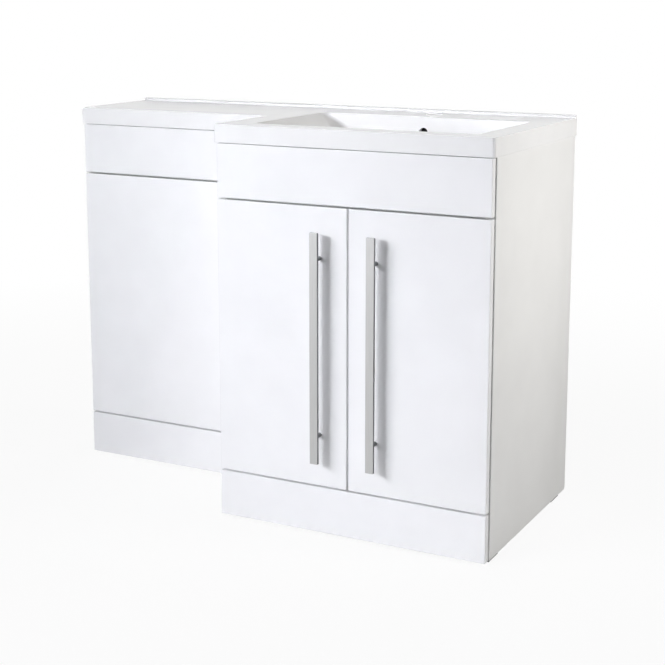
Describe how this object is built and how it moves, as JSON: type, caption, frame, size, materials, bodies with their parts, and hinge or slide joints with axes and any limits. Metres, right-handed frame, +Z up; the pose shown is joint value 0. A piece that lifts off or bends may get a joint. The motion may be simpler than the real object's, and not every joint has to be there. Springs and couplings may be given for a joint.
{
  "type": "toilet and basin combination unit",
  "caption": "L-shaped bathroom unit: a two-door vanity cabinet with a cast basin top that runs on over a shallow cabinet for a back-to-wall toilet and its cistern.",
  "frame": {"origin": "on the floor, in the middle of the unit's width and of its depth over the handles", "axes": "+X to the right along the wall, +Y back to the wall, +Z up"},
  "size_m": [1.1, 0.506, 0.833],
  "materials": {
    "gelcoat_top": "white gloss gelcoat on cast stone resin",
    "gloss_front": "white gloss lacquer on MDF",
    "white_board": "white satin melamine on chipboard",
    "brushed_handle": "satin brushed",
    "hinge_steel": "nickel plated, pressed",
    "zinc_fittings": "bright zinc plated",
    "dark_plastic": "moulded nylon, matt",
    "white_plastic": "moulded, matt",
    "clear_pad": "soft clear polyurethane",
    "beech": "fluted beech dowel"
  },
  "bodies": {
    "unit": {"basin_top": "gelcoat_top", "overflow_duct": "dark_plastic", "vanity_side_left": "white_board", "vanity_side_right": "white_board", "vanity_base": "white_board", "vanity_front_rail": "white_board", "vanity_back_rail_top": "white_board", "vanity_back_rail_low": "white_board", "vanity_shelf": "white_board", "shelf_pins": "zinc_fittings", "vanity_fascia": "gloss_front", "vanity_plinth": "gloss_front", "wc_side_left": "white_board", "wc_side_right": "white_board", "wc_top_rail": "white_board", "wc_mid_rail": "white_board", "wc_base_rail": "white_board", "wc_back_rail_top": "white_board", "wc_back_rail_low": "white_board", "access_panel_sockets": "white_plastic", "wc_front_panel": "gloss_front", "wc_plinth": "gloss_front", "front_spacers": "white_plastic", "front_screws": "zinc_fittings", "corner_blocks": "white_plastic", "glides_vanity": "dark_plastic", "glides_wc": "dark_plastic", "linking_bolts": "zinc_fittings", "linking_sleeves": "zinc_fittings", "wall_brackets": "zinc_fittings", "wall_bracket_screws": "zinc_fittings", "dowels": "beech", "cam_discs": "zinc_fittings", "cam_bolts": "zinc_fittings", "hinge_arms_left": "hinge_steel", "hinge_plates_left": "hinge_steel", "hinge_screws_left": "hinge_steel", "hinge_arms_right": "hinge_steel", "hinge_plates_right": "hinge_steel", "hinge_screws_right": "hinge_steel"},
    "left_door": {"door_left": "gloss_front", "handle_bar_left": "brushed_handle", "handle_posts_left": "brushed_handle", "handle_screws_left": "zinc_fittings", "hinge_cups_left": "hinge_steel", "hinge_pins_left": "hinge_steel", "cup_screws_left": "hinge_steel", "door_buffers_left": "clear_pad"},
    "right_door": {"door_right": "gloss_front", "handle_bar_right": "brushed_handle", "handle_posts_right": "brushed_handle", "handle_screws_right": "zinc_fittings", "hinge_cups_right": "hinge_steel", "hinge_pins_right": "hinge_steel", "cup_screws_right": "hinge_steel", "door_buffers_right": "clear_pad"},
    "access_panel": {"wc_access_panel": "gloss_front", "access_panel_studs": "white_plastic"}
  },
  "joints": [
    {"name": "right_door_hinge", "type": "hinge", "parent": "unit", "child": "right_door", "pos_m": [0.537, -0.217, 0.3885], "axis": [0, 0, 1], "range_deg": [0, 105]},
    {"name": "left_door_hinge", "type": "hinge", "parent": "unit", "child": "left_door", "pos_m": [-0.043, -0.217, 0.3885], "axis": [0, 0, -1], "range_deg": [0, 105]},
    {"name": "access_panel_pull", "type": "slide", "parent": "unit", "child": "access_panel", "axis": [0, -1, 0], "range_m": [0, 0.03]}
  ]
}
